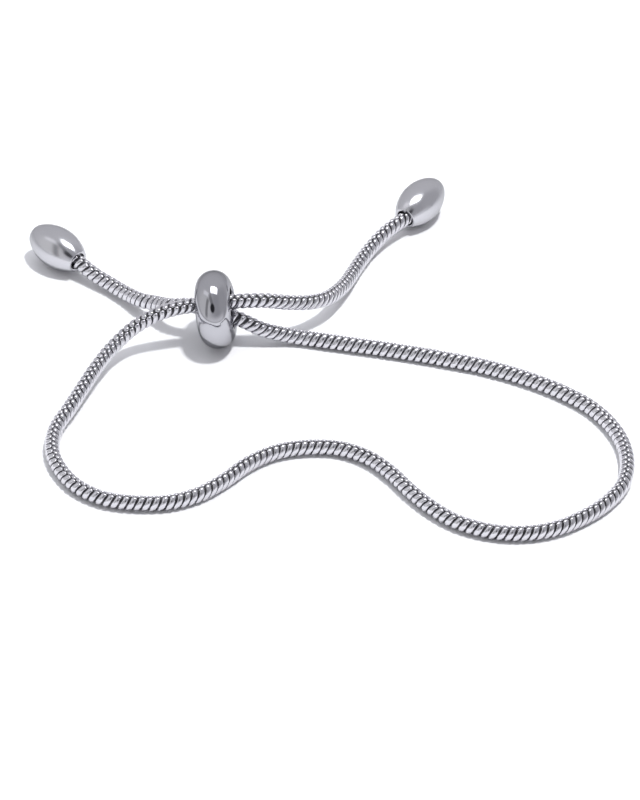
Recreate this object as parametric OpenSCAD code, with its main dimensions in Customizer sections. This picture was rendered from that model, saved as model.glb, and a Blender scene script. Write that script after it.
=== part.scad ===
// A fine metal chain bracelet with a round sliding bead and a small oval bead on each end.
// It lies on a flat surface. +X runs to the right and +Y away from the viewer, in millimetres.
// The origin is on the surface, under the middle of the whole bracelet.

/* [Chain] */
// Outer diameter of the round chain
chain_d = 2; // [1.6:0.1:2]
// Flat sides of the plain tube that stands for the links
chain_sides = 8; // [8:1:12]

/* [Sliding bead] */
// Outer diameter of the sliding bead
slider_d = 10; // [10:0.1:10.6]
// Width of the sliding bead along its hole
slider_w = 4.5; // [4.4:0.1:5]
// Diameter of the hole that both strands run through
slider_hole_d = 5.2; // [5.2:0.1:5.6]
// Turn of the sliding bead's hole away from the X axis, in degrees
slider_turn = -2; // [-6:1:6]
// Lean of that hole, its right end up, in degrees
slider_lean = 8; // [0:1:10]

/* [End beads] */
// Diameter of an end bead at its middle
end_bead_d = 5.4; // [5:0.1:5.4]
// Length of the whole oval before its mouth is cut flat
end_oval_l = 8.9; // [8.5:0.1:9.2]
// Length of the oval that the flat mouth takes away
mouth_cut = 0.7; // [0.6:0.05:0.9]
// Radius of the oval's rounded tip
tip_r = 1.9; // [1.7:0.05:2]
// Diameter of the blind hole that the chain's end is fixed in
end_hole_d = 2.3; // [2.2:0.05:2.4]
// Depth of that blind hole
end_hole_depth = 3.2; // [3.1:0.1:3.6]

/* [Hidden] */
steel = [0.76, 0.75, 0.78];
chain_steel = [0.70, 0.69, 0.72];

// Each point of the chain's centre line holds x, y and the lift above where the chain rests.
// The left tail, from inside its end bead to the sliding bead
left_tail = [
    [-33.7, 20.6, 1.65],
    [-31.5, 18.6, 1.35],
    [-29.4, 16.8, 0.65],
    [-27.1, 14.9, 0.35],
    [-25, 12.8, 0.45],
    [-23, 10.5, 1.1],
    [-20.9, 8.9, 1.8],
    [-18.8, 7, 2.8]
];

// The lower strand, through the sliding bead and down to the surface
lower_strand = [
    [-16, 6, 3.55],
    [-13.3, 5.1, 3.07],
    [-10.5, 4.3, 2.85],
    [-7.2, 4.1, 1.2],
    [-3.3, 4.1, 0.1]
];

// The right half of the loop, flat on the surface
right_loop = [
    [0.6, 3.3, 0],
    [4.5, 2.4, 0],
    [8.4, 1.5, 0],
    [12.3, 0.5, 0],
    [16.1, -0.6, 0],
    [19.9, -1.8, 0],
    [23.6, -3.4, 0],
    [27.1, -5.3, 0],
    [30.4, -7.6, 0],
    [33.3, -10.3, 0],
    [35.5, -13.7, 0],
    [36.8, -17.4, 0],
    [37.1, -21.4, 0],
    [36.3, -25.3, 0],
    [34.2, -28.7, 0],
    [31.3, -31.4, 0],
    [27.8, -33.5, 0],
    [23.9, -34.4, 0],
    [20, -34, 0],
    [16.3, -32.4, 0],
    [13.3, -29.8, 0]
];

// The front bend and the left half of the loop, flat on the surface
left_loop = [
    [10.8, -26.7, 0],
    [8.6, -23.4, 0],
    [5.9, -20.4, 0],
    [2.4, -18.5, 0],
    [-1.6, -18.2, 0],
    [-5.4, -19.1, 0],
    [-8.7, -21.3, 0],
    [-11.4, -24.3, 0],
    [-14.4, -27, 0],
    [-18, -28.6, 0],
    [-22, -28.8, 0],
    [-25.9, -28, 0],
    [-29.2, -25.8, 0],
    [-31.5, -22.5, 0],
    [-32.7, -18.7, 0]
];

// The upper strand, rising from the surface and through the sliding bead
upper_strand = [
    [-32.5, -14.7, 0.1],
    [-31, -11.1, 0.5],
    [-29.5, -7.4, 0.9],
    [-28, -3.7, 1.2],
    [-26.1, -0.2, 1.7],
    [-23.3, 2.2, 3.1],
    [-19.8, 3.4, 4.5],
    [-15.9, 4.25, 4.95],
    [-13.3, 4.45, 5.2],
    [-10.7, 4.6, 5.3]
];

// The right tail, over the lower strand and down to the inside of its end bead
right_tail = [
    [-7.2, 4.9, 5.2],
    [-4.2, 6, 4.1],
    [-1.6, 7.2, 3.2],
    [0.6, 9.2, 2.3],
    [2, 11.7, 1.5],
    [3.1, 14.4, 0.8],
    [4, 17.2, 0.3],
    [5.1, 20.1, 0.2],
    [6.4, 22.7, 0.35],
    [8.1, 25.1, 0.9],
    [9.7, 26.9, 1.2],
    [11.1, 28.3, 1.35],
    [12.7, 30.7, 1.65]
];

// The whole route, with each lift turned into the height of the chain's centre
route = [
    for (p = concat(left_tail, lower_strand, right_loop, left_loop, upper_strand, right_tail))
        [p.x, p.y, p.z + chain_d / 2]
];
last = len(route) - 1;

slider_rim_r = slider_w / 2;
slider_rim_x = slider_d / 2 - slider_rim_r;
slider_pos = [-13.25, 4.67, slider_rim_x * cos(slider_lean) + slider_rim_r];
slider_lip_r = 0.3;
rim_steps = 40;
lip_steps = 4;
end_hole_lip = 0.15;
fine = 96;
cut = 0.1;

function unit(v) = v / norm(v);

// Direction of the route at point i, along the line between its neighbours
function heading(i) = unit(route[min(i + 1, last)] - route[max(i - 1, 0)]);

// Ring of corners round point i, with one corner straight below the centre line
function ring(i) =
    let (
        side = unit(cross(heading(i), [0, 0, 1])),
        up = cross(side, heading(i))
    )
    [
        for (k = [0:chain_sides - 1])
            let (a = 360 * k / chain_sides - 90)
            route[i] + chain_d / 2 * (cos(a) * side + sin(a) * up)
    ];

// Corner k of ring i in the tube's list of corners
function corner(i, k) = i * chain_sides + k % chain_sides;

module chain_tube() {
    corners = [for (i = [0:last]) each ring(i)];
    walls = [
        for (i = [0:last - 1], k = [0:chain_sides - 1])
            each [
                [corner(i, k), corner(i, k + 1), corner(i + 1, k + 1)],
                [corner(i, k), corner(i + 1, k + 1), corner(i + 1, k)]
            ]
    ];
    first_end = [for (k = [1:chain_sides - 2]) [corner(0, 0), corner(0, k + 1), corner(0, k)]];
    last_end = [for (k = [1:chain_sides - 2]) [corner(last, 0), corner(last, k), corner(last, k + 1)]];
    polyhedron(points = corners, faces = concat(walls, first_end, last_end));
}

// Points along an arc round the point c, from angle a0 to angle a1
function arc(c, r, a0, a1, steps) =
    [for (i = [0:steps]) let (a = a0 + (a1 - a0) * i / steps) c + r * [cos(a), sin(a)]];

// Half section of the sliding bead: a full round rim, cut by the hole, with rounded lips
module slider_profile() {
    lip_x = slider_hole_d / 2 + slider_lip_r;
    lip_y = sqrt(pow(slider_rim_r - slider_lip_r, 2) - pow(lip_x - slider_rim_x, 2));
    lip_angle = atan2(lip_y, lip_x - slider_rim_x);
    lip_start = lip_angle + (180 - lip_angle) / lip_steps;
    polygon(concat(
        arc([slider_rim_x, 0], slider_rim_r, -lip_angle, lip_angle, rim_steps),
        arc([lip_x, lip_y], slider_lip_r, lip_start, 180, lip_steps - 1),
        arc([lip_x, -lip_y], slider_lip_r, 180, 360 - lip_start, lip_steps - 1)
    ));
}

// Half section of an end bead's whole oval: one long side arc between two round tips
module oval_profile() {
    mid_r = end_bead_d / 2;
    tip_y = end_oval_l / 2 - tip_r;
    side_r = (pow(mid_r, 2) + pow(tip_y, 2) - pow(tip_r, 2)) / (2 * mid_r - 2 * tip_r);
    side_y = tip_y * side_r / (side_r - tip_r);
    intersection() {
        translate([mid_r - side_r, 0])
            circle(r = side_r, $fn = 2 * fine);
        translate([0, -side_y])
            square([end_bead_d, 2 * side_y]);
    }
    for (y = [-tip_y, tip_y])
        intersection() {
            translate([0, y])
                circle(r = tip_r, $fn = fine);
            translate([0, -end_oval_l])
                square([end_bead_d, 2 * end_oval_l]);
        }
}

// An end bead along Z with its middle at the origin and its mouth at the top
module end_bead() {
    mouth_z = end_oval_l / 2 - mouth_cut;
    hole_r = end_hole_d / 2;
    difference() {
        rotate_extrude($fn = fine)
            oval_profile();
        translate([-end_bead_d, -end_bead_d, mouth_z])
            cube([2 * end_bead_d, 2 * end_bead_d, end_bead_d]);
        translate([0, 0, mouth_z - end_hole_depth])
            cylinder(r = hole_r, h = end_hole_depth + cut, $fn = fine);
        translate([0, 0, mouth_z - end_hole_lip])
            cylinder(r1 = hole_r, r2 = hole_r + 2 * end_hole_lip, h = 2 * end_hole_lip, $fn = fine);
    }
}

// Sets an end bead with its mouth at one point of the route and its hole towards the chain's end
module on_chain_end(mouth, inside) {
    out = unit(mouth - inside);
    bead_pos = mouth - (end_oval_l / 2 - mouth_cut) * out;
    translate(bead_pos)
        rotate([0, acos(out.z), atan2(out.y, out.x)])
            end_bead();
}

module chain() {
    color(chain_steel)
        chain_tube();
}

module slider_bead() {
    color(steel)
        translate(slider_pos)
            rotate([0, 90 - slider_lean, slider_turn])
                rotate_extrude($fn = fine)
                    slider_profile();
}

module end_bead_left() {
    color(steel)
        on_chain_end(route[1], route[0]);
}

module end_bead_right() {
    color(steel)
        on_chain_end(route[last - 1], route[last]);
}

chain();
slider_bead();
end_bead_left();
end_bead_right();
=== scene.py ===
"""Chain bracelet of polished steel: a fine round chain, a sliding bead and two end beads."""
import math

import bmesh
import bpy
import numpy as np
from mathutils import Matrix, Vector


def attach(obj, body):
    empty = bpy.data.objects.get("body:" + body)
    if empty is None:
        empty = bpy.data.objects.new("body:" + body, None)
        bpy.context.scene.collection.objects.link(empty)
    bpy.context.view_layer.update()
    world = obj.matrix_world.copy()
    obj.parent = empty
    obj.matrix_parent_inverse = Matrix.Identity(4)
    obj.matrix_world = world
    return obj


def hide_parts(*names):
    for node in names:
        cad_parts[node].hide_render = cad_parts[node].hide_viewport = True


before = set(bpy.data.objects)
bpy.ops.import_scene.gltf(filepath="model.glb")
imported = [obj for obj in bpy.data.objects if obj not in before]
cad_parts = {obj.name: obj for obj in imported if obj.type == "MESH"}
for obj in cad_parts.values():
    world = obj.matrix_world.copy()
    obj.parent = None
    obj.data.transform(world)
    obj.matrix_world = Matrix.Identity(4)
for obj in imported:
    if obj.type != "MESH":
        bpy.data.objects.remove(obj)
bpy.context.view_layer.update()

scene = bpy.context.scene

# Camera
# The bracelet is seen from straight in front, looking down at 38 degrees, through a long lens.
camera_at = Vector((-0.0001, -0.3561, 0.2728))
camera_target = Vector((-0.0001, -0.0088, 0.001))
camera_data = bpy.data.cameras.new("camera")
camera_data.sensor_fit = "HORIZONTAL"
camera_data.sensor_width = 36.0
camera_data.lens = 200.2
camera_data.clip_start = 0.01
camera_data.clip_end = 10.0
camera_data.dof.use_dof = False
camera = bpy.data.objects.new("camera", camera_data)
camera.location = camera_at
camera.rotation_euler = (camera_target - camera_at).to_track_quat("-Z", "Y").to_euler()
scene.collection.objects.link(camera)
scene.camera = camera

# Sliding bead
# A turned ring of stainless steel with a full round rim, polished to a mirror. Both strands of
# the chain run through its hole, and it grips them where it is pushed.
slider_centre = Vector((-0.01325, 0.00467, 0.004973))
slider_turn = math.radians(-2)
slider_lean = math.radians(8)
slider_radius = 0.004995
slider_rim = 0.002248
slider_hole = 0.0026
slider_lip = 0.0003
rim_steps = 56
lip_steps = 8
slider_steps = 144


def arc_points(centre, radius, start, end, steps):
    """Points round an arc as (distance from the axis, place along the axis)."""
    turn = np.linspace(math.radians(start), math.radians(end), steps + 1)
    return [(centre[0] + radius * math.cos(a), centre[1] + radius * math.sin(a)) for a in turn]


def turned(name, outline, steps, centre, axis):
    """A body turned from an outline that is closed, or that starts and ends on the axis."""
    on_axis = 1e-9
    open_outline = outline[0][0] < on_axis
    mesh = bmesh.new()
    turn = axis.to_track_quat("Z", "Y")
    rows = []
    for radius, along in outline:
        if radius < on_axis:
            rows.append([mesh.verts.new(turn @ Vector((0, 0, along)) + centre)])
            continue
        row = []
        for i in range(steps):
            a = 2 * math.pi * i / steps
            corner = Vector((radius * math.cos(a), radius * math.sin(a), along))
            row.append(mesh.verts.new(turn @ corner + centre))
        rows.append(row)
    pairs = list(zip(rows, rows[1:]))
    if not open_outline:
        pairs.append((rows[-1], rows[0]))
    for low, high in pairs:
        for i in range(steps):
            j = (i + 1) % steps
            if len(low) == 1:
                mesh.faces.new((low[0], high[j], high[i]))
            elif len(high) == 1:
                mesh.faces.new((low[i], low[j], high[0]))
            else:
                mesh.faces.new((low[i], low[j], high[j], high[i]))
    bmesh.ops.recalc_face_normals(mesh, faces=mesh.faces)
    data = bpy.data.meshes.new(name)
    mesh.to_mesh(data)
    mesh.free()
    data.shade_smooth()
    piece = bpy.data.objects.new(name, data)
    scene.collection.objects.link(piece)
    return piece


rim_centre = slider_radius - slider_rim
lip_at = slider_hole + slider_lip
lip_side = math.sqrt((slider_rim - slider_lip) ** 2 - (lip_at - rim_centre) ** 2)
lip_angle = math.degrees(math.atan2(lip_side, lip_at - rim_centre))
slider_outline = arc_points((rim_centre, 0), slider_rim, -lip_angle, lip_angle, rim_steps)
slider_outline += arc_points((lip_at, lip_side), slider_lip, lip_angle, 180, lip_steps)[1:]
slider_outline += [(slider_hole, lip_side * (1 - k / lip_steps)) for k in range(1, 2 * lip_steps)]
slider_outline += arc_points((lip_at, -lip_side), slider_lip, 180, 360 - lip_angle, lip_steps)[:-1]
slider_axis = Vector((
    math.cos(slider_lean) * math.cos(slider_turn),
    math.cos(slider_lean) * math.sin(slider_turn),
    math.sin(slider_lean),
))
slider = turned("slider_bead_polished", slider_outline, slider_steps, slider_centre, slider_axis)

# The finish group gives each polished surface a slight cloudiness and fine hairlines.
hairline_depth = 0.00002
finish = bpy.data.node_groups.new("polished_finish", "ShaderNodeTree")
for socket_name, kind, value in (
    ("Metal", "NodeSocketColor", (0.6, 0.6, 0.62, 1)),
    ("Cloud Depth", "NodeSocketFloat", 0.06),
    ("Cloud Size", "NodeSocketFloat", 300.0),
    ("Hairline Size", "NodeSocketFloat", 2500.0),
    ("Polish", "NodeSocketFloat", 0.05),
    ("Polish Spread", "NodeSocketFloat", 0.05),
):
    socket = finish.interface.new_socket(name=socket_name, in_out="INPUT", socket_type=kind)
    socket.default_value = value
finish.interface.new_socket(name="Color", in_out="OUTPUT", socket_type="NodeSocketColor")
finish.interface.new_socket(name="Roughness", in_out="OUTPUT", socket_type="NodeSocketFloat")
finish.interface.new_socket(name="Height", in_out="OUTPUT", socket_type="NodeSocketFloat")
given = finish.nodes.new("NodeGroupInput")
result = finish.nodes.new("NodeGroupOutput")
place = finish.nodes.new("ShaderNodeTexCoord")
cloud = finish.nodes.new("ShaderNodeTexNoise")
cloud.inputs["Detail"].default_value = 3.0
hairline_stretch = finish.nodes.new("ShaderNodeMapping")
hairline_stretch.inputs["Scale"].default_value = (0.12, 1.0, 0.6)
hairline = finish.nodes.new("ShaderNodeTexNoise")
hairline.inputs["Detail"].default_value = 4.0
darker = finish.nodes.new("ShaderNodeMath")
darker.operation = "MULTIPLY"
shade = finish.nodes.new("ShaderNodeMath")
shade.operation = "SUBTRACT"
shade.inputs[0].default_value = 1.0
tint = finish.nodes.new("ShaderNodeMix")
tint.data_type = "RGBA"
tint.blend_type = "MULTIPLY"
tint.inputs["Factor"].default_value = 1.0
rough = finish.nodes.new("ShaderNodeMath")
rough.operation = "MULTIPLY_ADD"
wire = finish.links.new
wire(place.outputs["Object"], cloud.inputs["Vector"])
wire(given.outputs["Cloud Size"], cloud.inputs["Scale"])
wire(place.outputs["Object"], hairline_stretch.inputs["Vector"])
wire(hairline_stretch.outputs["Vector"], hairline.inputs["Vector"])
wire(given.outputs["Hairline Size"], hairline.inputs["Scale"])
wire(cloud.outputs["Fac"], darker.inputs[0])
wire(given.outputs["Cloud Depth"], darker.inputs[1])
wire(darker.outputs["Value"], shade.inputs[1])
wire(given.outputs["Metal"], tint.inputs["A"])
wire(shade.outputs["Value"], tint.inputs["B"])
wire(hairline.outputs["Fac"], rough.inputs[0])
wire(given.outputs["Polish Spread"], rough.inputs[1])
wire(given.outputs["Polish"], rough.inputs[2])
wire(tint.outputs["Result"], result.inputs["Color"])
wire(rough.outputs["Value"], result.inputs["Roughness"])
wire(hairline.outputs["Fac"], result.inputs["Height"])


def steel_material(name, metal, edge, polish, polish_spread, cloud_depth, bump):
    """Polished steel with the finish group's marks. A low edge value darkens its grazing angles."""
    material = bpy.data.materials.new(name)
    material.use_nodes = True
    nodes = material.node_tree.nodes
    links = material.node_tree.links
    shader = nodes["Principled BSDF"]
    shader.inputs["Metallic"].default_value = 1.0
    shader.inputs["Specular Tint"].default_value = (edge, edge, edge, 1)
    marks = nodes.new("ShaderNodeGroup")
    marks.node_tree = finish
    marks.inputs["Metal"].default_value = (*metal, 1)
    marks.inputs["Cloud Depth"].default_value = cloud_depth
    marks.inputs["Polish"].default_value = polish
    marks.inputs["Polish Spread"].default_value = polish_spread
    relief = nodes.new("ShaderNodeBump")
    relief.inputs["Strength"].default_value = bump
    relief.inputs["Distance"].default_value = hairline_depth
    links.new(marks.outputs["Color"], shader.inputs["Base Color"])
    links.new(marks.outputs["Roughness"], shader.inputs["Roughness"])
    links.new(marks.outputs["Height"], relief.inputs["Height"])
    links.new(relief.outputs["Normal"], shader.inputs["Normal"])
    return material


slider_steel = steel_material(
    "slider_steel", metal=(0.48, 0.48, 0.51), edge=0.5,
    polish=0.05, polish_spread=0.03, cloud_depth=0.05, bump=0.03,
)
slider.data.materials.append(slider_steel)
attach(slider, "root")
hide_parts("slider_bead")

# Chain
# A round chain of stamped steel links, about 280 of them. Each link is a pair of slanted bars bent
# round the chain, and the bars' rounded heads interlock in two seams. It is tumbled until bright.
# Each point of the centre line holds x, y and z in metres and the turn of the seam in degrees.
route = (
    (-0.0337, 0.0206, 0.00265, 0),
    (-0.0315, 0.0186, 0.00235, 0),
    (-0.0294, 0.0168, 0.00165, 0),
    (-0.0271, 0.0149, 0.00135, 0),
    (-0.025, 0.0128, 0.00145, 0),
    (-0.023, 0.0105, 0.0021, -10),
    (-0.0209, 0.0089, 0.0028, -15),
    (-0.0188, 0.007, 0.0038, -20),
    (-0.016, 0.006, 0.00455, -15),
    (-0.0133, 0.0051, 0.00407, 0),
    (-0.0105, 0.0043, 0.00385, 12),
    (-0.0072, 0.0041, 0.0022, 2),
    (-0.0033, 0.0041, 0.0011, -10),
    (0.0006, 0.0033, 0.001, -15),
    (0.0045, 0.0024, 0.001, -15),
    (0.0084, 0.0015, 0.001, -15),
    (0.0123, 0.0005, 0.001, -15),
    (0.0161, -0.0006, 0.001, -14),
    (0.0199, -0.0018, 0.001, -12),
    (0.0236, -0.0034, 0.001, -10),
    (0.0271, -0.0053, 0.001, -4),
    (0.0304, -0.0076, 0.001, 0),
    (0.0333, -0.0103, 0.001, 0),
    (0.0355, -0.0137, 0.001, 0),
    (0.0368, -0.0174, 0.001, 0),
    (0.0371, -0.0214, 0.001, 0),
    (0.0363, -0.0253, 0.001, 0),
    (0.0342, -0.0287, 0.001, 0),
    (0.0313, -0.0314, 0.001, 0),
    (0.0278, -0.0335, 0.001, 0),
    (0.0239, -0.0344, 0.001, 0),
    (0.02, -0.034, 0.001, 0),
    (0.0163, -0.0324, 0.001, 0),
    (0.0133, -0.0298, 0.001, 0),
    (0.0108, -0.0267, 0.001, 0),
    (0.0086, -0.0234, 0.001, 0),
    (0.0059, -0.0204, 0.001, 0),
    (0.0024, -0.0185, 0.001, 0),
    (-0.0016, -0.0182, 0.001, 0),
    (-0.0054, -0.0191, 0.001, 0),
    (-0.0087, -0.0213, 0.001, 0),
    (-0.0114, -0.0243, 0.001, 0),
    (-0.0144, -0.027, 0.001, 0),
    (-0.018, -0.0286, 0.001, 0),
    (-0.022, -0.0288, 0.001, 0),
    (-0.0259, -0.028, 0.001, 0),
    (-0.0292, -0.0258, 0.001, 0),
    (-0.0315, -0.0225, 0.001, 0),
    (-0.0327, -0.0187, 0.001, 0),
    (-0.0325, -0.0147, 0.0011, 0),
    (-0.031, -0.0111, 0.0015, 3),
    (-0.0295, -0.0074, 0.0019, 8),
    (-0.028, -0.0037, 0.0022, 15),
    (-0.0261, -0.0002, 0.0027, 24),
    (-0.0233, 0.0022, 0.0041, 32),
    (-0.0198, 0.0034, 0.0055, 36),
    (-0.0159, 0.00425, 0.00595, 36),
    (-0.0133, 0.00445, 0.0062, 32),
    (-0.0107, 0.0046, 0.0063, 28),
    (-0.0072, 0.0049, 0.0062, 26),
    (-0.0042, 0.006, 0.0051, 15),
    (-0.0016, 0.0072, 0.0042, 8),
    (0.0006, 0.0092, 0.0033, 0),
    (0.002, 0.0117, 0.0025, 0),
    (0.0031, 0.0144, 0.0018, 0),
    (0.004, 0.0172, 0.0013, 0),
    (0.0051, 0.0201, 0.0012, 0),
    (0.0064, 0.0227, 0.00135, 0),
    (0.0081, 0.0251, 0.0019, 0),
    (0.0097, 0.0269, 0.0022, 0),
    (0.0111, 0.0283, 0.00235, 0),
    (0.0127, 0.0307, 0.00265, 0),
)
centre_data = bpy.data.curves.new("chain_centre", "CURVE")
centre_data.dimensions = "3D"
centre_line = centre_data.splines.new("POLY")
centre_line.points.add(len(route) - 1)
for point, (x, y, z, turn) in zip(centre_line.points, route):
    point.co = (x, y, z, 1)
    point.tilt = math.radians(turn)
chain_maker = bpy.data.objects.new("chain_maker", centre_data)
scene.collection.objects.link(chain_maker)

# A station's lean runs along the chain. It grows to half the pitch at the heads, which sets each
# head between two heads of the other row.
link_pitch = 0.000915
core_radius = 0.00078
resting_height = 0.001014
link_stations = (
    # degrees up from the side, outer radius, half width, thickness and lean along the chain
    (0, 0.000905, 0.00043, 0.00028, 0.0),
    (20, 0.000945, 0.000415, 0.00028, 0.000133),
    (38, 0.000985, 0.000395, 0.00028, 0.000252),
    (54, 0.000995, 0.00037, 0.00028, 0.00035),
    (63, 0.00098, 0.000355, 0.00028, 0.00041),
    (69, 0.000989, 0.00041, 0.00028, 0.000445),
    (75, 0.000998, 0.00043, 0.00028, 0.0004575),
    (81, 0.000985, 0.00038, 0.00028, 0.0004575),
    (87, 0.00095, 0.00025, 0.00026, 0.0004575),
    (92, 0.00089, 0.00011, 0.00022, 0.0004575),
)
bar_section = (
    # shares of the half width and of the thickness, round a domed bar
    (0.0, 0.0),
    (0.6, -0.1),
    (1.0, -0.5),
    (0.75, -1.0),
    (-0.75, -1.0),
    (-1.0, -0.5),
    (-0.6, -0.1),
)
bar_corners = len(bar_section)
bar = bmesh.new()
bar_rings = []
lower_half = [(-a, r, h, t, -lean) for a, r, h, t, lean in reversed(link_stations[2::2])]
for angle, out, half, thick, lean in lower_half + list(link_stations):
    a = math.radians(angle)
    ring = []
    for across, deep in bar_section:
        r = out + deep * thick
        ring.append(bar.verts.new((across * half - lean, r * math.cos(a), r * math.sin(a))))
    bar_rings.append(ring)
for low, high in zip(bar_rings, bar_rings[1:]):
    for i in range(bar_corners):
        j = (i + 1) % bar_corners
        bar.faces.new((low[i], low[j], high[j], high[i]))
bar.faces.new(list(reversed(bar_rings[0])))
bar.faces.new(bar_rings[-1])
bmesh.ops.recalc_face_normals(bar, faces=bar.faces)
bar_data = bpy.data.meshes.new("link_bar")
bar.to_mesh(bar_data)
bar.free()
bar_data.shade_smooth()
link_bar = bpy.data.objects.new("link_bar", bar_data)
scene.collection.objects.link(link_bar)

link_steel = steel_material(
    "link_steel", metal=(0.68, 0.675, 0.71), edge=1.0,
    polish=0.13, polish_spread=0.06, cloud_depth=0.1, bump=0.1,
)
# The core's near-black colour is painted shade, standing in for the inner links in shadow.
core_painted_shade = steel_material(
    "link_core_painted_shade", metal=(0.08, 0.08, 0.084), edge=1.0,
    polish=0.35, polish_spread=0.1, cloud_depth=0.2, bump=0.1,
)

# The tree steps along the centre line by the pitch, sets a bar on each side of every step with the
# right row half a pitch on, and sweeps the core inside them, whose near-black steel is painted
# shade for the deep gaps between the bars.
chain_tree = bpy.data.node_groups.new("chain_of_links", "GeometryNodeTree")
for socket_name, kind in (
    ("Geometry", "NodeSocketGeometry"),
    ("Link Bar", "NodeSocketObject"),
    ("Link Pitch", "NodeSocketFloat"),
    ("Core Radius", "NodeSocketFloat"),
    ("Resting Height", "NodeSocketFloat"),
    ("Link Steel", "NodeSocketMaterial"),
    ("Core Painted Shade", "NodeSocketMaterial"),
):
    chain_tree.interface.new_socket(name=socket_name, in_out="INPUT", socket_type=kind)
chain_tree.interface.new_socket(name="Geometry", in_out="OUTPUT", socket_type="NodeSocketGeometry")
chain_node = chain_tree.nodes.new
chain_wire = chain_tree.links.new
chain_in = chain_node("NodeGroupInput")
chain_out = chain_node("NodeGroupOutput")
smooth_line = chain_node("GeometryNodeCurveSplineType")
smooth_line.spline_type = "CATMULL_ROM"
line_steps = chain_node("GeometryNodeSetSplineResolution")
line_steps.inputs["Resolution"].default_value = 16
even_steps = chain_node("GeometryNodeResampleCurve")
even_steps.mode = "LENGTH"
line_place = chain_node("GeometryNodeInputPosition")
line_parts = chain_node("ShaderNodeSeparateXYZ")
line_rest = chain_node("ShaderNodeMath")
line_rest.operation = "MAXIMUM"
line_kept = chain_node("ShaderNodeCombineXYZ")
line_above = chain_node("GeometryNodeSetPosition")
along = chain_node("GeometryNodeInputTangent")
seam_turn = chain_node("GeometryNodeInputCurveTilt")
facing = chain_node("FunctionNodeAxesToRotation")
facing.primary_axis = "X"
facing.secondary_axis = "Z"
facing.inputs["Secondary Axis"].default_value = (0, 0, 1)
seam_spin = chain_node("FunctionNodeAxisAngleToRotation")
seam_spin.inputs["Axis"].default_value = (1, 0, 0)
turned_facing = chain_node("FunctionNodeRotateRotation")
turned_facing.rotation_space = "LOCAL"
bar_info = chain_node("GeometryNodeObjectInfo")
left_bars = chain_node("GeometryNodeInstanceOnPoints")
half_turn = chain_node("FunctionNodeRotateRotation")
half_turn.rotation_space = "LOCAL"
half_turn.inputs["Rotate By"].default_value = (math.pi, 0, 0)
right_bars = chain_node("GeometryNodeInstanceOnPoints")
half_pitch = chain_node("ShaderNodeMath")
half_pitch.operation = "MULTIPLY"
half_pitch.inputs[1].default_value = 0.5
half_step = chain_node("ShaderNodeCombineXYZ")
right_shifted = chain_node("GeometryNodeTranslateInstances")
all_bars = chain_node("GeometryNodeJoinGeometry")
bars_real = chain_node("GeometryNodeRealizeInstances")
bars_metal = chain_node("GeometryNodeSetMaterial")
core_section = chain_node("GeometryNodeCurvePrimitiveCircle")
core_section.inputs["Resolution"].default_value = 10
core_tube = chain_node("GeometryNodeCurveToMesh")
core_tube.inputs["Fill Caps"].default_value = True
core_shade_paint = chain_node("GeometryNodeSetMaterial")
core_smooth = chain_node("GeometryNodeSetShadeSmooth")
whole_chain = chain_node("GeometryNodeJoinGeometry")
chain_wire(chain_in.outputs["Geometry"], smooth_line.inputs["Curve"])
chain_wire(smooth_line.outputs["Curve"], line_steps.inputs["Geometry"])
chain_wire(line_steps.outputs["Geometry"], even_steps.inputs["Curve"])
chain_wire(chain_in.outputs["Link Pitch"], even_steps.inputs["Length"])
chain_wire(line_place.outputs["Position"], line_parts.inputs["Vector"])
chain_wire(line_parts.outputs["Z"], line_rest.inputs[0])
chain_wire(chain_in.outputs["Resting Height"], line_rest.inputs[1])
chain_wire(line_parts.outputs["X"], line_kept.inputs["X"])
chain_wire(line_parts.outputs["Y"], line_kept.inputs["Y"])
chain_wire(line_rest.outputs["Value"], line_kept.inputs["Z"])
chain_wire(even_steps.outputs["Curve"], line_above.inputs["Geometry"])
chain_wire(line_kept.outputs["Vector"], line_above.inputs["Position"])
chain_wire(along.outputs["Tangent"], facing.inputs["Primary Axis"])
chain_wire(seam_turn.outputs["Tilt"], seam_spin.inputs["Angle"])
chain_wire(facing.outputs["Rotation"], turned_facing.inputs["Rotation"])
chain_wire(seam_spin.outputs["Rotation"], turned_facing.inputs["Rotate By"])
chain_wire(chain_in.outputs["Link Bar"], bar_info.inputs["Object"])
chain_wire(line_above.outputs["Geometry"], left_bars.inputs["Points"])
chain_wire(bar_info.outputs["Geometry"], left_bars.inputs["Instance"])
chain_wire(turned_facing.outputs["Rotation"], left_bars.inputs["Rotation"])
chain_wire(turned_facing.outputs["Rotation"], half_turn.inputs["Rotation"])
chain_wire(line_above.outputs["Geometry"], right_bars.inputs["Points"])
chain_wire(bar_info.outputs["Geometry"], right_bars.inputs["Instance"])
chain_wire(half_turn.outputs["Rotation"], right_bars.inputs["Rotation"])
chain_wire(chain_in.outputs["Link Pitch"], half_pitch.inputs[0])
chain_wire(half_pitch.outputs["Value"], half_step.inputs["X"])
chain_wire(right_bars.outputs["Instances"], right_shifted.inputs["Instances"])
chain_wire(half_step.outputs["Vector"], right_shifted.inputs["Translation"])
chain_wire(left_bars.outputs["Instances"], all_bars.inputs["Geometry"])
chain_wire(right_shifted.outputs["Instances"], all_bars.inputs["Geometry"])
chain_wire(all_bars.outputs["Geometry"], bars_real.inputs["Geometry"])
chain_wire(bars_real.outputs["Geometry"], bars_metal.inputs["Geometry"])
chain_wire(chain_in.outputs["Link Steel"], bars_metal.inputs["Material"])
chain_wire(chain_in.outputs["Core Radius"], core_section.inputs["Radius"])
chain_wire(line_above.outputs["Geometry"], core_tube.inputs["Curve"])
chain_wire(core_section.outputs["Curve"], core_tube.inputs["Profile Curve"])
chain_wire(core_tube.outputs["Mesh"], core_smooth.inputs["Geometry"])
chain_wire(core_smooth.outputs["Geometry"], core_shade_paint.inputs["Geometry"])
chain_wire(chain_in.outputs["Core Painted Shade"], core_shade_paint.inputs["Material"])
chain_wire(bars_metal.outputs["Geometry"], whole_chain.inputs["Geometry"])
chain_wire(core_shade_paint.outputs["Geometry"], whole_chain.inputs["Geometry"])
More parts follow.
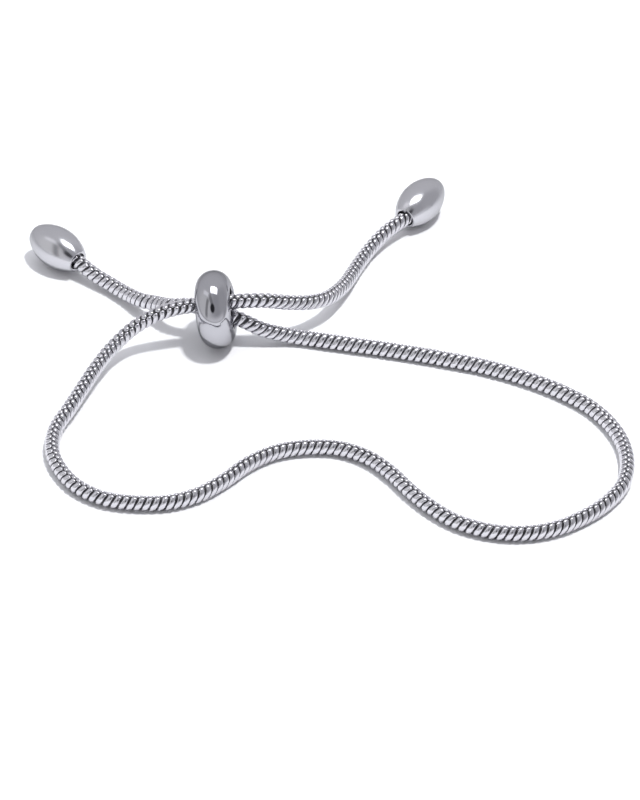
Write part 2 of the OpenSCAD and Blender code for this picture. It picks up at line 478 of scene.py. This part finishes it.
chain_wire(whole_chain.outputs["Geometry"], chain_out.inputs["Geometry"])

chain_builder = chain_maker.modifiers.new("links", "NODES")
chain_builder.node_group = chain_tree
chain_sizes = {
    "Link Bar": link_bar,
    "Link Pitch": link_pitch,
    "Core Radius": core_radius,
    "Resting Height": resting_height,
    "Link Steel": link_steel,
    "Core Painted Shade": core_painted_shade,
}
for item in chain_tree.interface.items_tree:
    if item.in_out == "INPUT" and item.name in chain_sizes:
        chain_builder[item.identifier] = chain_sizes[item.name]
built = chain_maker.evaluated_get(bpy.context.evaluated_depsgraph_get())
chain_data = bpy.data.meshes.new_from_object(built)
chain = bpy.data.objects.new("chain_links", chain_data)
scene.collection.objects.link(chain)
bpy.data.objects.remove(chain_maker)
bpy.data.objects.remove(link_bar)
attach(chain, "root")
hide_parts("chain")

# End beads
# A solid oval of polished steel on each end of the chain, turned from bar, with its mouth cut flat
# and drilled. The last link is fixed in the blind hole.
bead_radius = 0.002695
oval_half = 0.004445
tip_radius = 0.0019
mouth_at = 0.00375
mouth_round = 0.00008
bead_hole = 0.00115
bead_hole_depth = 0.0032
hole_edge = 0.00013
tip_steps = 16
side_steps = 40
round_steps = 4
hole_edge_steps = 5
bead_steps = 96
tip_centre = oval_half - tip_radius
side_radius = (
    (bead_radius ** 2 + tip_centre ** 2 - tip_radius ** 2) / (2 * bead_radius - 2 * tip_radius)
)
tip_join = math.degrees(math.asin(tip_centre / (side_radius - tip_radius)))
mouth_radius = math.sqrt(tip_radius ** 2 - (mouth_at - tip_centre) ** 2)
mouth_angle = math.degrees(math.acos(mouth_radius / tip_radius))
# The tip's arc stops 2 degrees short of the mouth, where the mouth's own rounding takes over.
tip_stop = mouth_angle - 2
round_start = 40
side_centre = (bead_radius - side_radius, 0)
round_centre = (mouth_radius - mouth_round, mouth_at - mouth_round)
hole_edge_centre = (bead_hole + hole_edge, mouth_at - hole_edge)
hole_floor = mouth_at - bead_hole_depth
oval_outline = [(0.0, -oval_half)]
oval_outline += arc_points((0, -tip_centre), tip_radius, -90, -tip_join, tip_steps)[1:]
oval_outline += arc_points(side_centre, side_radius, -tip_join, tip_join, side_steps)[1:]
oval_outline += arc_points((0, tip_centre), tip_radius, tip_join, tip_stop, round_steps)[1:]
oval_outline += arc_points(round_centre, mouth_round, round_start, 90, round_steps)
oval_outline += arc_points(hole_edge_centre, hole_edge, 90, 180, hole_edge_steps)
oval_outline += [(bead_hole, hole_floor), (0.0, hole_floor)]
bead_steel = steel_material(
    "bead_steel", metal=(0.59, 0.59, 0.62), edge=0.75,
    polish=0.17, polish_spread=0.05, cloud_depth=0.05, bump=0.03,
)
for name, mouth, inside in (("left", route[1], route[0]), ("right", route[-2], route[-1])):
    mouth_point = Vector(mouth[:3])
    to_mouth = (mouth_point - Vector(inside[:3])).normalized()
    bead_centre = mouth_point - mouth_at * to_mouth
    end_bead = turned(
        f"end_bead_{name}_polished", oval_outline, bead_steps, bead_centre, to_mouth
    )
    end_bead.data.materials.append(bead_steel)
    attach(end_bead, "root")
    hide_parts(f"end_bead_{name}")

# Surface
# A plain white sheet that the bracelet lies on, lit so that it runs out to pure white. Its mirror
# image in the metal is a painted reflection: only glossy rays see the paper fade darker beyond the
# bracelet, towards the grey of the studio.
sheet_half = 3.0
fade_centre = Vector((0.0, -0.06, 0.0))
fade_start = 0.08
fade_end = 0.12
reflection_shade_depth = 0.45
sheet_mesh = bmesh.new()
bmesh.ops.create_grid(sheet_mesh, x_segments=1, y_segments=1, size=sheet_half)
sheet_data = bpy.data.meshes.new("white_sheet")
sheet_mesh.to_mesh(sheet_data)
sheet_mesh.free()
sheet = bpy.data.objects.new("white_sheet", sheet_data)
scene.collection.objects.link(sheet)
sheet_material = bpy.data.materials.new("white_paper")
sheet_material.use_nodes = True
paper_nodes = sheet_material.node_tree.nodes
paper_links = sheet_material.node_tree.links
paper = paper_nodes["Principled BSDF"]
paper.inputs["Roughness"].default_value = 0.9
paper.inputs["Specular IOR Level"].default_value = 0.0
paper_place = paper_nodes.new("ShaderNodeTexCoord")
paper_centre = paper_nodes.new("ShaderNodeMapping")
paper_centre.inputs["Location"].default_value = -fade_centre
paper_reach = paper_nodes.new("ShaderNodeVectorMath")
paper_reach.operation = "LENGTH"
paper_fade = paper_nodes.new("ShaderNodeMapRange")
paper_fade.interpolation_type = "SMOOTHSTEP"
paper_fade.inputs["From Min"].default_value = fade_start
paper_fade.inputs["From Max"].default_value = fade_end
paper_fade.inputs["To Min"].default_value = 0.0
paper_fade.inputs["To Max"].default_value = reflection_shade_depth
# Painted reflection: the fade darkens the paper for glossy rays only, never for the camera.
paper_ray = paper_nodes.new("ShaderNodeLightPath")
paper_painted_reflection_shade = paper_nodes.new("ShaderNodeMath")
paper_painted_reflection_shade.operation = "MULTIPLY"
paper_tone = paper_nodes.new("ShaderNodeMix")
paper_tone.data_type = "RGBA"
paper_tone.inputs["A"].default_value = (0.88, 0.88, 0.89, 1)
paper_tone.inputs["B"].default_value = (0.0, 0.0, 0.0, 1)
paper_links.new(paper_place.outputs["Object"], paper_centre.inputs["Vector"])
paper_links.new(paper_centre.outputs["Vector"], paper_reach.inputs[0])
paper_links.new(paper_reach.outputs["Value"], paper_fade.inputs["Value"])
paper_links.new(paper_fade.outputs["Result"], paper_painted_reflection_shade.inputs[0])
paper_links.new(paper_ray.outputs["Is Glossy Ray"], paper_painted_reflection_shade.inputs[1])
paper_links.new(paper_painted_reflection_shade.outputs["Value"], paper_tone.inputs["Factor"])
paper_links.new(paper_tone.outputs["Result"], paper.inputs["Base Color"])
sheet.data.materials.append(sheet_material)

# Light
# One soft key lamp high on the right throws the shadow, and a wide cool lamp behind fills it. A
# window card overhead shows only in the polish, and a grey studio makes up the rest.
key_at = Vector((0.2, -0.02, 0.9))
key_target = Vector((-0.0133, 0.0047, 0.0))
fill_at = Vector((-0.1, 0.35, 1.0))
key_data = bpy.data.lights.new("key", "AREA")
key_data.shape = "DISK"
key_data.size = 0.095
key_data.energy = 6.2
key = bpy.data.objects.new("key", key_data)
key.location = key_at
key.rotation_euler = (key_target - key_at).to_track_quat("-Z", "Y").to_euler()
key.visible_glossy = False
scene.collection.objects.link(key)

fill_data = bpy.data.lights.new("fill", "AREA")
fill_data.shape = "DISK"
fill_data.size = 1.6
fill_data.energy = 5.0
fill_data.color = (0.9, 0.93, 1.0)
fill = bpy.data.objects.new("fill", fill_data)
fill.location = fill_at
fill.rotation_euler = (-fill_at).to_track_quat("-Z", "Y").to_euler()
fill.visible_glossy = False
scene.collection.objects.link(fill)

card_centre = (0.018, 0.022, 0.16)
card_half = (0.062, 0.037)
card_softness = 0.5
card_strength = 7.0
card_mesh = bmesh.new()
for x, y in ((-1, -1), (1, -1), (1, 1), (-1, 1)):
    corner_x = card_centre[0] + x * card_half[0]
    corner_y = card_centre[1] + y * card_half[1]
    card_mesh.verts.new((corner_x, corner_y, card_centre[2]))
card_mesh.faces.new(card_mesh.verts[:])
card_data = bpy.data.meshes.new("window_card")
card_mesh.to_mesh(card_data)
card_mesh.free()
card = bpy.data.objects.new("window_card", card_data)
card.visible_camera = False
card.visible_diffuse = False
card.visible_shadow = False
scene.collection.objects.link(card)
card_glow = bpy.data.materials.new("window_glow")
card_glow.use_nodes = True
glow_nodes = card_glow.node_tree.nodes
glow_links = card_glow.node_tree.links
glow_nodes.remove(glow_nodes["Principled BSDF"])
glow_place = glow_nodes.new("ShaderNodeTexCoord")
glow_centre = glow_nodes.new("ShaderNodeVectorMath")
glow_centre.operation = "SUBTRACT"
glow_centre.inputs[1].default_value = card_centre
glow_scale = glow_nodes.new("ShaderNodeVectorMath")
glow_scale.operation = "DIVIDE"
glow_scale.inputs[1].default_value = (*card_half, 1.0)
glow_size = glow_nodes.new("ShaderNodeVectorMath")
glow_size.operation = "ABSOLUTE"
glow_parts = glow_nodes.new("ShaderNodeSeparateXYZ")
glow_reach = glow_nodes.new("ShaderNodeMath")
glow_reach.operation = "SMOOTH_MAX"
glow_reach.inputs[2].default_value = card_softness
glow_edge = glow_nodes.new("ShaderNodeMapRange")
glow_edge.interpolation_type = "SMOOTHSTEP"
glow_edge.inputs["From Min"].default_value = 1.0
glow_edge.inputs["From Max"].default_value = card_softness
glow_mix = glow_nodes.new("ShaderNodeMixShader")
glow_clear = glow_nodes.new("ShaderNodeBsdfTransparent")
glow_lamp = glow_nodes.new("ShaderNodeEmission")
glow_lamp.inputs["Color"].default_value = (0.98, 0.99, 1.0, 1)
glow_lamp.inputs["Strength"].default_value = card_strength
glow_links.new(glow_place.outputs["Object"], glow_centre.inputs[0])
glow_links.new(glow_centre.outputs["Vector"], glow_scale.inputs[0])
glow_links.new(glow_scale.outputs["Vector"], glow_size.inputs[0])
glow_links.new(glow_size.outputs["Vector"], glow_parts.inputs["Vector"])
glow_links.new(glow_parts.outputs["X"], glow_reach.inputs[0])
glow_links.new(glow_parts.outputs["Y"], glow_reach.inputs[1])
glow_links.new(glow_reach.outputs["Value"], glow_edge.inputs["Value"])
glow_links.new(glow_edge.outputs["Result"], glow_mix.inputs["Fac"])
glow_links.new(glow_clear.outputs["BSDF"], glow_mix.inputs[1])
glow_links.new(glow_lamp.outputs["Emission"], glow_mix.inputs[2])
glow_links.new(glow_mix.outputs["Shader"], glow_nodes["Material Output"].inputs["Surface"])
card.data.materials.append(card_glow)

# The studio is an even grey with soft shapes laid over it, each round a direction seen from the
# bracelet. A ramp's start and end are cosines of the angle from its direction.
studio = bpy.data.worlds.new("studio")
studio.use_nodes = True
sky = studio.node_tree.nodes
sky_links = studio.node_tree.links
sky_place = sky.new("ShaderNodeTexCoord")


def sky_ramp(direction, start, end, depth=1.0, size=False):
    """A factor from 0 at start to depth at end, by how far a view lies along a direction.

    With size, both ways along the direction count alike.
    """
    along_it = sky.new("ShaderNodeVectorMath")
    along_it.operation = "DOT_PRODUCT"
    along_it.inputs[1].default_value = Vector(direction).normalized()
    ramp = sky.new("ShaderNodeMapRange")
    ramp.interpolation_type = "SMOOTHSTEP"
    ramp.inputs["From Min"].default_value = start
    ramp.inputs["From Max"].default_value = end
    ramp.inputs["To Max"].default_value = depth
    sky_links.new(sky_place.outputs["Generated"], along_it.inputs[0])
    value = along_it.outputs["Value"]
    if size:
        bare = sky.new("ShaderNodeMath")
        bare.operation = "ABSOLUTE"
        sky_links.new(value, bare.inputs[0])
        value = bare.outputs["Value"]
    sky_links.new(value, ramp.inputs["Value"])
    return ramp.outputs["Result"]


def sky_both(one, other):
    """The product of two factors."""
    product = sky.new("ShaderNodeMath")
    product.operation = "MULTIPLY"
    sky_links.new(one, product.inputs[0])
    sky_links.new(other, product.inputs[1])
    return product.outputs["Value"]


def sky_layer(under, factor, tone):
    """The studio's tone with one more soft shape laid over it."""
    blend = sky.new("ShaderNodeMix")
    blend.data_type = "RGBA"
    blend.inputs["B"].default_value = (*tone, 1)
    if isinstance(under, tuple):
        blend.inputs["A"].default_value = (*under, 1)
    else:
        sky_links.new(under, blend.inputs["A"])
    sky_links.new(factor, blend.inputs["Factor"])
    return blend.outputs["Result"]


# The room's dim front right end, its right wall, its bright low front and its left wall
room_end = sky_ramp((0.55, -0.5, 0.67), 0.5, 0.96)
room = sky_layer((0.68, 0.68, 0.71), room_end, (0.46, 0.46, 0.49))
right_wall = sky_ramp((0.93, 0.0, 0.3), math.cos(math.radians(45)), math.cos(math.radians(18)))
room = sky_layer(room, right_wall, (0.52, 0.52, 0.55))
low_front = sky_both(sky_ramp((0, 0, 1), 0.34, 0.03), sky_ramp((0, -1, 0), 0.1, 0.6))
room = sky_layer(room, low_front, (0.92, 0.92, 0.96))
left_wall = sky_ramp((-0.78, -0.4, 0.48), 0.6, 0.95, 0.7)
room = sky_layer(room, left_wall, (0.85, 0.85, 0.86))

# A light strip up on the left, cut off at both ends
streak = sky_both(
    sky_ramp((0.506, 0.799, 0.325), 0.15, 0.05, 0.7, size=True),
    sky_ramp((-0.52, -0.02, 0.854), math.cos(math.radians(27)), math.cos(math.radians(10))),
)
room = sky_layer(room, streak, (1.25, 1.25, 1.3))

# Two dark stand legs, each a thin band square to its first direction
for leg, middle, depth in (
    ((0.756, -0.639, 0.139), (-0.6, -0.6, 0.53), 0.65),
    ((0.884, 0.353, 0.306), (-0.09, -0.5, 0.86), 0.6),
):
    stand = sky_both(sky_ramp(leg, 0.2, 0.07, depth, size=True), sky_ramp(middle, 0.84, 0.94))
    room = sky_layer(room, stand, (0.12, 0.12, 0.13))

# The dark camera itself
lens = sky_ramp((0.0, -0.76, 0.65), math.cos(math.radians(17)), math.cos(math.radians(9)))
room = sky_layer(room, lens, (0.03, 0.03, 0.035))

# The studio lights the paper a little less than it shows in the metal.
sky_links.new(room, sky["Background"].inputs["Color"])
sky_ray = sky.new("ShaderNodeLightPath")
sky_share = sky.new("ShaderNodeMapRange")
sky_share.inputs["To Min"].default_value = 1.0
sky_share.inputs["To Max"].default_value = 0.8
sky_links.new(sky_ray.outputs["Is Diffuse Ray"], sky_share.inputs["Value"])
sky_links.new(sky_share.outputs["Result"], sky["Background"].inputs["Strength"])
scene.world = studio
scene.view_settings.view_transform = "Standard"
scene.view_settings.look = "None"
